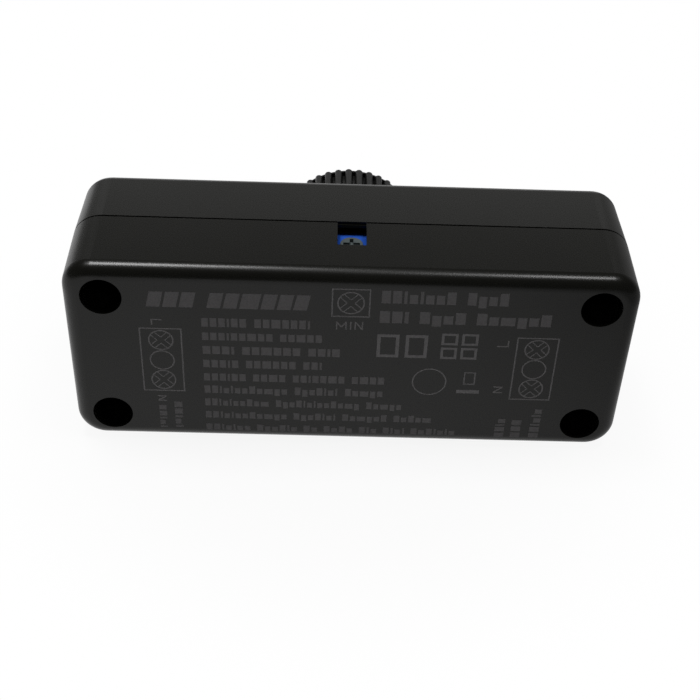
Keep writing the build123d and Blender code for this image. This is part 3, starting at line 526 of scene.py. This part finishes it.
@dataclass
class LabelPrint:
    """The face's print: terminal diagrams, the adjuster's sign, plain signs and rows of words.

    Places are in millimetres from the case's middle: along it, and up across its width. A share is
    of the height of the letters that it shapes.
    """

    face: float
    mid_height: float
    relief: float = 0.012
    root: float = 0.02
    line: float = 0.22
    ring_segments: int = 40
    letter_foot: float = 0.6
    slot_line: float = 0.16
    word_gap: float = 0.6
    letter_step: int = 3
    word_step: int = 5
    pole_radius: float = 2.0
    pole_pitch: float = 4.05
    arm_width: float = 0.85
    diagram_size: Point = (6.7, 12.9)
    input_middle: Point = (-29.85, -0.35)
    output_middle: Point = (29.55, -0.4)
    sign_middle: Point = (-0.2, 11.9)
    sign_size: Point = (6.0, 5.4)
    sign_radius: float = 2.14
    min_corner: Point = (-2.3, 6.75)
    min_height: float = 1.55
    m_share: float = 0.95
    n_share: float = 0.72
    gap_share: float = 0.32
    valley_share: float = 0.3
    letters_l: tuple[tuple[PrintSpot, float], ...] = (
        (PrintSpot((-31.2, 7.75), Reading.DOWN), 1.7),
        (PrintSpot((25.0, 4.15), Reading.UP), 1.9),
    )
    letters_n: tuple[tuple[PrintSpot, Point], ...] = (
        (PrintSpot((-31.0, -7.9), Reading.DOWN), (0.95, 1.4)),
        (PrintSpot((24.95, -5.4), Reading.UP), (1.15, 1.5)),
    )
    frames: tuple[FrameSign, ...] = (
        FrameSign((5.9, 3.7), (3.5, 4.6), 0.55),
        FrameSign((10.4, 3.7), (3.5, 4.6), 0.55),
        FrameSign((15.6, 5.3), (2.6, 2.3), 0.42),
        FrameSign((15.6, 2.5), (2.6, 2.3), 0.42),
        FrameSign((18.8, 5.3), (2.6, 2.3), 0.42),
        FrameSign((18.8, 2.5), (2.6, 2.3), 0.42),
        FrameSign((19.4, -2.6), (1.9, 2.6), 0.22),
    )
    ring_middle: Point = (12.95, -3.5)
    ring_radius: float = 2.8
    bar_ends: tuple[Point, Point] = ((17.5, -5.4), (21.2, -5.4))
    bar_width: float = 0.7
    title: WordRow = WordRow(PrintSpot((-32.0, 10.25), slant=0.22), 25.2, 2.9, (3, 6),
                             letter_gap=0.42)
    side_lines: tuple[WordRow, ...] = (
        WordRow(PrintSpot((4.3, 12.05)), 19.9, 2.4, (8, 4), Setting.LETTERS, 0.36),
        WordRow(PrintSpot((4.15, 8.25)), 27.1, 2.3, (3, 4, 6), Setting.LETTERS, 0.36),
    )
    rows: tuple[WordRow, ...] = (
        WordRow(PrintSpot((-23.5, 6.6)), 17.2, 1.7, (6, 7)),
        WordRow(PrintSpot((-23.5, 3.95)), 19.1, 1.5, (9, 5)),
        WordRow(PrintSpot((-23.5, 1.15)), 22.0, 1.6, (4, 6, 4)),
        WordRow(PrintSpot((-23.5, -1.6)), 19.2, 1.55, (5, 6, 3)),
        WordRow(PrintSpot((-23.5, -4.35)), 29.3, 1.5, (6, 4, 7, 4)),
        WordRow(PrintSpot((-23.5, -7.0)), 29.2, 1.6, (12, 7, 5), Setting.LETTERS),
        WordRow(PrintSpot((-23.5, -9.7)), 32.4, 1.5, (10, 13, 5), Setting.LETTERS),
        WordRow(PrintSpot((-23.5, -12.4)), 37.5, 1.45, (12, 7, 6, 5), Setting.LETTERS),
        WordRow(PrintSpot((-23.5, -15.05)), 41.6, 1.35, (7, 6, 2, 4, 3, 4, 7), Setting.LETTERS),
        WordRow(PrintSpot((-30.9, -9.7), Reading.DOWN), 5.2, 1.15, (5,), Setting.LETTERS),
        WordRow(PrintSpot((-28.4, -8.9), Reading.DOWN), 5.9, 1.3, (5,), Setting.LETTERS),
        WordRow(PrintSpot((26.2, -15.3), Reading.UP), 4.3, 1.6, (4,), Setting.LETTERS),
        WordRow(PrintSpot((28.9, -15.3), Reading.UP), 4.1, 1.6, (3,)),
        WordRow(PrintSpot((32.0, -15.3), Reading.UP), 6.6, 1.6, (6,), Setting.LETTERS),
    )

    def on_face(self, point: Point) -> Vector:
        """Give the place on the face, in metres, of a point in millimetres from its middle."""
        return Vector((point[0] * MM, self.face, self.mid_height + point[1] * MM))

    def stroke(self, sheet: bmesh.types.BMesh, start: Point, end: Point, width: float) -> None:
        """Draw one straight bar between two points.

        Args:
            sheet: The bmesh that it is added to.
            start: Middle of its first end.
            end: Middle of its other end.
            width: Its width in millimetres.
        """
        a, b = self.on_face(start), self.on_face(end)
        run = b - a
        made = bmesh.ops.create_grid(sheet, x_segments=1, y_segments=1, size=0.5)
        turn = Matrix.Rotation(-atan2(run.z, run.x), 4, "Y")
        shape = Matrix.Diagonal((run.length, 1.0, width * MM, 1.0))
        upright = Matrix.Rotation(pi / 2, 4, "X")
        bmesh.ops.transform(sheet, matrix=Matrix.Translation((a + b) / 2) @ turn @ shape @ upright,
                            verts=made["verts"])

    def block(self, sheet: bmesh.types.BMesh, spot: PrintSpot, middle: Point, size: Point) -> None:
        """Draw a letter's block, which leans as its row does.

        Args:
            sheet: The bmesh that it is added to.
            spot: The row's corner, reading and slant.
            middle: The block's middle along the row and above its base line.
            size: Its width and height in millimetres.
        """
        made = bmesh.ops.create_grid(sheet, x_segments=1, y_segments=1, size=0.5)
        turn = Matrix.Rotation(-radians(spot.reading.value), 4, "Y")
        lean = Matrix.Identity(4)
        lean[0][2] = spot.slant
        shape = Matrix.Diagonal((size[0] * MM, 1.0, size[1] * MM, 1.0))
        upright = Matrix.Rotation(pi / 2, 4, "X")
        place = Matrix.Translation(self.on_face(spot.point(*middle)))
        bmesh.ops.transform(sheet, matrix=place @ turn @ lean @ shape @ upright,
                            verts=made["verts"])

    def frame_line(self, sheet: bmesh.types.BMesh, middle: Point, size: Point,
                   width: float) -> None:
        """Draw a rectangle's outline from four bars that meet at its corners.

        Args:
            sheet: The bmesh that it is added to.
            middle: The rectangle's middle.
            size: Its outer width and height in millimetres.
            width: Its line width in millimetres.
        """
        x, y = middle
        reach_x, reach_y = size[0] / 2, size[1] / 2
        inner = reach_y - width
        for side in (-1, 1):
            level = y + side * (reach_y - width / 2)
            self.stroke(sheet, (x - reach_x, level), (x + reach_x, level), width)
            edge = x + side * (reach_x - width / 2)
            self.stroke(sheet, (edge, y - inner), (edge, y + inner), width)

    def ring(self, sheet: bmesh.types.BMesh, middle: Point, radius: float) -> None:
        """Draw a circle's outline.

        Args:
            sheet: The bmesh that it is added to.
            middle: Its middle.
            radius: Its outer radius in millimetres.
        """
        place = Matrix.Translation(self.on_face(middle)) @ Matrix.Rotation(pi / 2, 4, "X")
        edges = set()
        for reach in (radius, radius - self.line):
            made = bmesh.ops.create_circle(sheet, segments=self.ring_segments, radius=reach * MM,
                                           matrix=place)
            edges.update(edge for vert in made["verts"] for edge in vert.link_edges)
        bmesh.ops.bridge_loops(sheet, edges=list(edges))

    def screw_head(self, sheet: bmesh.types.BMesh, middle: Point, radius: float) -> None:
        """Draw a cross-slot screw head: a ring, and the slots' sides as pairs of lines out to it.

        Args:
            sheet: The bmesh that it is added to.
            middle: Its middle.
            radius: Its outer radius in millimetres.
        """
        self.ring(sheet, middle, radius)
        half = self.arm_width / 2
        reach = radius - self.line
        for quarter in range(4):
            arm = Matrix.Rotation(pi / 4 + quarter * pi / 2, 2)
            for side in (-1, 1):
                near, far = (arm @ Vector((along, side * half)) for along in (half, reach))
                self.stroke(sheet, (middle[0] + near.x, middle[1] + near.y),
                            (middle[0] + far.x, middle[1] + far.y), self.slot_line)

    def letter_l(self, sheet: bmesh.types.BMesh, spot: PrintSpot, height: float) -> None:
        """Draw an L of two bars.

        Args:
            sheet: The bmesh that it is added to.
            spot: Its corner and reading.
            height: The long bar's length in millimetres.
        """
        self.stroke(sheet, spot.point(0, 0), spot.point(0, height), self.line)
        self.stroke(sheet, spot.point(self.line / 2, self.line / 2),
                    spot.point(height * self.letter_foot, self.line / 2), self.line)

    def letter_n(self, sheet: bmesh.types.BMesh, spot: PrintSpot, width: float,
                 height: float) -> None:
        """Draw an N of three bars.

        Args:
            sheet: The bmesh that it is added to.
            spot: Its lower left corner and reading.
            width: Its width in millimetres.
            height: Its height in millimetres.
        """
        for along in (0, width):
            self.stroke(sheet, spot.point(along, 0), spot.point(along, height), self.line)
        self.stroke(sheet, spot.point(self.line / 2, height - self.line / 2),
                    spot.point(width - self.line / 2, self.line / 2), self.line)

    def sign_word(self, sheet: bmesh.types.BMesh) -> None:
        """Draw the word MIN under the adjuster's sign.

        Args:
            sheet: The bmesh that it is added to.
        """
        spot, height = PrintSpot(self.min_corner), self.min_height
        m_width, n_width = height * self.m_share, height * self.n_share
        gap = height * self.gap_share
        valley = spot.point(m_width / 2, height * self.valley_share)
        for along in (0, m_width):
            self.stroke(sheet, spot.point(along, 0), spot.point(along, height), self.line)
            self.stroke(sheet, spot.point(along, height - self.line / 2), valley, self.line)
        stem = m_width + gap + self.line
        self.stroke(sheet, spot.point(stem, 0), spot.point(stem, height), self.line)
        self.letter_n(sheet, PrintSpot(spot.point(stem + gap + self.line, 0)), n_width, height)

    def words(self, sheet: bmesh.types.BMesh, line: WordRow) -> None:
        """Draw a row of words, each a capital's block and then the blocks of its setting.

        Args:
            sheet: The bmesh that it is added to.
            line: The row to draw.
        """
        order = line.setting.value
        words = [[LetterBlock.CAPITAL]
                 + [order[(letter * self.letter_step + word * self.word_step) % len(order)]
                    for letter in range(1, count)]
                 for word, count in enumerate(line.words)]
        cells = sum(block.value[0] for blocks in words for block in blocks)
        gap = self.word_gap * line.height
        cell = (line.length - (len(words) - 1) * gap) / cells
        along = 0.0
        for blocks in words:
            for wide, foot, head in (block.value for block in blocks):
                middle = (along + wide * cell / 2, (foot + head) / 2 * line.height)
                self.block(sheet, line.spot, middle,
                           (wide * cell - line.letter_gap, (head - foot) * line.height))
                along += wide * cell
            along += gap

    def diagram(self, sheet: bmesh.types.BMesh, middle: Point) -> None:
        """Draw one terminal block seen from above: two screws and a blank pole between.

        Args:
            sheet: The bmesh that it is added to.
            middle: The block's middle.
        """
        self.frame_line(sheet, middle, self.diagram_size, self.line)
        for pole in (-1, 0, 1):
            draw = self.screw_head if pole else self.ring
            draw(sheet, (middle[0], middle[1] + pole * self.pole_pitch), self.pole_radius)

    def plain_signs(self, sheet: bmesh.types.BMesh) -> None:
        """Draw the plain frames, ring and bar that stand in the right half of the face.

        Args:
            sheet: The bmesh that they are added to.
        """
        for sign in self.frames:
            self.frame_line(sheet, sign.middle, sign.size, sign.line)
        self.ring(sheet, self.ring_middle, self.ring_radius)
        self.stroke(sheet, *self.bar_ends, self.bar_width)

    def finish_sheet(self, name: str, sheet: bmesh.types.BMesh, finish: Finish) -> None:
        """Give a sheet of flat shapes its ink thickness and make it a piece.

        Args:
            name: The piece's name.
            sheet: The flat shapes.
            finish: The ink.
        """
        thickness = (self.relief + self.root) * MM
        for face in sheet.faces:
            if face.normal.y > 0:
                face.normal_flip()
        bmesh.ops.translate(sheet, verts=sheet.verts[:], vec=(0.0, -self.relief * MM, 0.0))
        bmesh.ops.solidify(sheet, geom=sheet.faces[:], thickness=thickness)
        piece(name, sheet, "casing", finish)

    def build(self) -> None:
        """Build all of the print as a few pieces of ink."""
        lines = bmesh.new()
        for middle in (self.input_middle, self.output_middle):
            self.diagram(lines, middle)
        self.frame_line(lines, self.sign_middle, self.sign_size, self.line)
        self.screw_head(lines, self.sign_middle, self.sign_radius)
        self.sign_word(lines)
        for spot, height in self.letters_l:
            self.letter_l(lines, spot, height)
        for spot, (width, height) in self.letters_n:
            self.letter_n(lines, spot, width, height)
        self.plain_signs(lines)
        self.finish_sheet("label_lines", lines, LABEL_INK)
        title = bmesh.new()
        for line in (self.title, *self.side_lines):
            self.words(title, line)
        self.finish_sheet("label_title", title, THIN_INK)
        small = bmesh.new()
        for line in self.rows:
            self.words(small, line)
        self.finish_sheet("label_words", small, THIN_INK)


# Sub-assemblies

@dataclass
class Casing:
    """The two half-shells with their screws and cord clamps, and the print on the label face."""

    nodes: tuple[str, ...] = ("bottom_shell", "top_shell", "case_screws", "cord_clamp_input",
                              "cord_clamp_output", "clamp_screws")

    def build(self) -> None:
        """Dress the shells and print the label face."""
        dress(self.nodes)
        low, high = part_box("bottom_shell")
        LabelPrint(face=low.y, mid_height=(low.z + high.z) / 2).build()


@dataclass
class Dial:
    """The knob on its shaft, with the potentiometer under it."""

    nodes: tuple[str, ...] = ("knob", "pot_shaft", "wiper_carrier", "wiper_contact", "pot_housing",
                              "pot_track", "pot_cover", "pot_pins")

    def build(self) -> None:
        """Dress the knob and the potentiometer."""
        dress(self.nodes)


@dataclass
class Adjuster:
    """The trimmer behind the side window."""

    nodes: tuple[str, ...] = ("trimmer_body", "trimmer_rotor", "trimmer_pins")

    def build(self) -> None:
        """Dress the trimmer."""
        dress(self.nodes)


@dataclass
class Electronics:
    """The board with its terminals and components."""

    nodes: tuple[str, ...] = (
        "circuit_board", "board_screws", "input_terminal_housing", "output_terminal_housing",
        "terminal_cages", "terminal_screws", "electrolytic_capacitor", "film_capacitor",
        "choke_core", "choke_winding", "varistor", "fuse", "power_transistors", "control_chip",
        "bridge_rectifier", "chip_resistors")

    def build(self) -> None:
        """Dress the board and all that it carries."""
        dress(self.nodes)


# Studio

@dataclass(frozen=True)
class Lamp:
    """A soft box: a rectangular lamp aimed at the object. Places and sizes are in metres."""

    name: str
    place: tuple[float, float, float]
    size: Point
    radiance: float

    def build(self) -> None:
        """Hang the lamp and turn it to the object."""
        data = bpy.data.lights.new(self.name, "AREA")
        data.shape = "RECTANGLE"
        data.size, data.size_y = self.size
        data.energy = self.radiance * pi * self.size[0] * self.size[1]
        lamp = bpy.data.objects.new(self.name, data)
        lamp.location = self.place
        lamp.rotation_euler = (-Vector(self.place)).to_track_quat("-Z", "Y").to_euler()
        bpy.context.scene.collection.objects.link(lamp)


@dataclass
class Studio:
    """Pale floor, plain soft light, and the camera where the photographer had it.

    The camera looks at a point on the label face, which is given by its place along the case and
    its height above the floor. Its angles are in degrees, and all lengths are in metres.
    """

    face: float
    aim_along: float = -0.00005
    aim_height: float = 0.020165
    distance: float = 0.19777
    yaw: float = -1.7117
    pitch: float = -38.734
    roll: float = 2.5393
    lens: float = 64.26
    clip: Point = (0.01, 50.0)
    floor_reach: float = 4.0
    floor_colour: str = "#e6e6e6"
    floor_glow_near: float = 0.9
    glow_start: float = 0.03
    glow_full: float = 0.075
    wall_strength: float = 0.65
    wall_front: Point = (0.1, 0.75)
    wall_dims: Point = (0.16, 0.67)
    wall_sides: Point = (0.2, 0.5)
    beside_wall: float = 0.15
    shade_across: Point = (0.0, 0.1)
    shade_behind: Point = (-0.01, 0.05)
    shaded_floor: Point = (0.3, 0.85)
    dark_strength: float = 0.06
    lamps: tuple[Lamp, ...] = (
        Lamp("overhead_left", (-0.135, 0.072, 0.62), (0.18, 0.10), 41.0),
        Lamp("overhead_right", (0.16, -0.03, 0.62), (0.14, 0.10), 24.0),
    )

    def build_camera(self) -> None:
        """Set the camera at the photograph's viewing angle."""
        data = bpy.data.cameras.new("camera")
        data.lens = self.lens
        camera = bpy.data.objects.new("camera", data)
        turn = (Matrix.Rotation(radians(self.yaw), 4, "Z")
                @ Matrix.Rotation(radians(90 + self.pitch), 4, "X")
                @ Matrix.Rotation(radians(self.roll), 4, "Z"))
        target = Vector((self.aim_along, self.face, self.aim_height))
        back = turn.to_3x3() @ Vector((0.0, 0.0, self.distance))
        camera.matrix_world = Matrix.Translation(target + back) @ turn
        data.clip_start, data.clip_end = self.clip
        bpy.context.scene.collection.objects.link(camera)
        bpy.context.scene.camera = camera

    def mirrored_floor(self, tree: Tree, place: Socket) -> Socket:
        """Tell how bright the floor is to gloss: dimmer to the right and behind.

        Args:
            tree: The node tree it goes into.
            place: The floor's object coordinates, in metres.

        Returns:
            A socket with the floor's strength.
        """
        axes = add(tree, "ShaderNodeSeparateXYZ", links={"Vector": place})
        spans = (self.shade_across, self.shade_behind)
        across, behind = (
            add(tree, "ShaderNodeMapRange",
                {"From Min": start, "From Max": end, "To Min": 1.0, "To Max": shaded},
                {"Value": axes.outputs[axis]}, interpolation_type="SMOOTHSTEP").outputs["Result"]
            for axis, (start, end), shaded in zip("XY", spans, self.shaded_floor))
        return add(tree, "ShaderNodeMath", links={"Value": across, "Value_001": behind},
                   operation="MULTIPLY").outputs["Value"]

    def seen_directly(self, tree: Tree, for_mirrors: Socket | None = None) -> Socket:
        """Tell the rays that show the background from those that light the object.

        Args:
            tree: The node tree it goes into.
            for_mirrors: Scales the answer for rays that gloss or clear plastic sends on.

        Returns:
            A socket that is 1 for a camera ray and for what a mirror or a lens shows.
        """
        path = add(tree, "ShaderNodeLightPath")
        sent_on = add(tree, "ShaderNodeMath",
                      links={"Value": path.outputs["Is Glossy Ray"],
                             "Value_001": path.outputs["Is Transmission Ray"]},
                      operation="MAXIMUM").outputs["Value"]
        if for_mirrors is not None:
            sent_on = add(tree, "ShaderNodeMath",
                          links={"Value": sent_on, "Value_001": for_mirrors},
                          operation="MULTIPLY").outputs["Value"]
        return add(tree, "ShaderNodeMath",
                   links={"Value": path.outputs["Is Camera Ray"], "Value_001": sent_on},
                   operation="MAXIMUM").outputs["Value"]

    def floor_material(self) -> bpy.types.Material:
        """Make the floor: pale, matt and whiter to the eye further out. It keeps the shadow."""
        made = bpy.data.materials.new("studio_paper")
        made.use_nodes = True
        tree = made.node_tree
        tree.nodes.clear()
        matt = add(tree, "ShaderNodeBsdfDiffuse", {"Color": linear(self.floor_colour)})
        place = add(tree, "ShaderNodeTexCoord").outputs["Object"]
        bright = add(tree, "ShaderNodeMath",
                     links={"Value": add(tree, "ShaderNodeLightPath").outputs["Is Camera Ray"],
                            "Value_001": self.mirrored_floor(tree, place)}, operation="MAXIMUM")
        glow = add(tree, "ShaderNodeEmission", links={"Strength": bright.outputs["Value"]})
        away = add(tree, "ShaderNodeVectorMath", links={"Vector": place}, operation="LENGTH")
        share = add(tree, "ShaderNodeMapRange",
                    {"From Min": self.glow_start, "From Max": self.glow_full,
                     "To Min": self.floor_glow_near, "To Max": 1.0},
                    {"Value": away.outputs["Value"]}, interpolation_type="SMOOTHSTEP")
        factor = add(tree, "ShaderNodeMath",
                     links={"Value": self.seen_directly(tree),
                            "Value_001": share.outputs["Result"]}, operation="MULTIPLY")
        mixed = add(tree, "ShaderNodeMixShader",
                    links={"Fac": factor.outputs["Value"], "Shader": matt.outputs["BSDF"],
                           "Shader_001": glow.outputs["Emission"]})
        add(tree, "ShaderNodeOutputMaterial", links={"Surface": mixed.outputs["Shader"]})
        return made

    def build_floor(self) -> None:
        """Lay the floor."""
        sheet = bmesh.new()
        bmesh.ops.create_grid(sheet, x_segments=2, y_segments=2, size=self.floor_reach)
        mesh = bpy.data.meshes.new("studio_floor")
        sheet.to_mesh(mesh)
        sheet.free()
        floor = bpy.data.objects.new("studio_floor", mesh)
        mesh.materials.append(self.floor_material())
        bpy.context.scene.collection.objects.link(floor)

    def build_world(self) -> None:
        """Surround the object: a white wall low behind it, and dark above, beside and in front."""
        world = bpy.data.worlds.new("studio")
        bpy.context.scene.world = world
        world.use_nodes = True
        tree = world.node_tree
        tree.nodes.clear()
        way = add(tree, "ShaderNodeSeparateXYZ",
                  links={"Vector": add(tree, "ShaderNodeTexCoord").outputs["Generated"]})
        behind = add(tree, "ShaderNodeMapRange",
                     {"From Min": self.wall_front[0], "From Max": self.wall_front[1]},
                     {"Value": way.outputs["Y"]}, interpolation_type="SMOOTHSTEP")
        sideways = add(tree, "ShaderNodeMath", links={"Value": way.outputs["X"]},
                       operation="ABSOLUTE")
        middle = add(tree, "ShaderNodeMapRange",
                     {"From Min": self.wall_sides[0], "From Max": self.wall_sides[1], "To Min": 1.0,
                      "To Max": self.beside_wall},
                     {"Value": sideways.outputs["Value"]}, interpolation_type="SMOOTHSTEP")
        low = add(tree, "ShaderNodeMapRange",
                  {"From Min": self.wall_dims[0], "From Max": self.wall_dims[1], "To Min": 1.0,
                   "To Max": 0.0},
                  {"Value": way.outputs["Z"]}, interpolation_type="SMOOTHSTEP")
        wide = add(tree, "ShaderNodeMath",
                   links={"Value": behind.outputs["Result"], "Value_001": low.outputs["Result"]},
                   operation="MULTIPLY")
        wall = add(tree, "ShaderNodeMath",
                   links={"Value": wide.outputs["Value"], "Value_001": middle.outputs["Result"]},
                   operation="MULTIPLY")
        strength = add(tree, "ShaderNodeMapRange",
                       {"To Min": self.dark_strength, "To Max": self.wall_strength},
                       {"Value": wall.outputs["Value"]})
        seen = self.seen_directly(tree, for_mirrors=wall.outputs["Value"])
        shown = add(tree, "ShaderNodeMix", {"B_Float": 1.0},
                    {"Factor_Float": seen, "A_Float": strength.outputs["Result"]})
        back = add(tree, "ShaderNodeBackground", {"Color": (1.0, 1.0, 1.0, 1.0)},
                   {"Strength": output(shown, "Result_Float")})
        add(tree, "ShaderNodeOutputWorld", links={"Surface": back.outputs["Background"]})

    def build(self) -> None:
        """Set up camera, floor, world and lamps."""
        bpy.context.scene.view_settings.view_transform = "Standard"
        self.build_camera()
        self.build_floor()
        self.build_world()
        for lamp in self.lamps:
            lamp.build()


def main() -> None:
    """Dress the dimmer and set the studio."""
    logging.basicConfig(level=logging.INFO, format="%(name)s %(message)s")
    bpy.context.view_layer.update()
    studio = Studio(face=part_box("bottom_shell")[0].y)
    for part in (Casing(), Dial(), Adjuster(), Electronics(), studio):
        part.build()


if __name__ == "__main__":
    main()
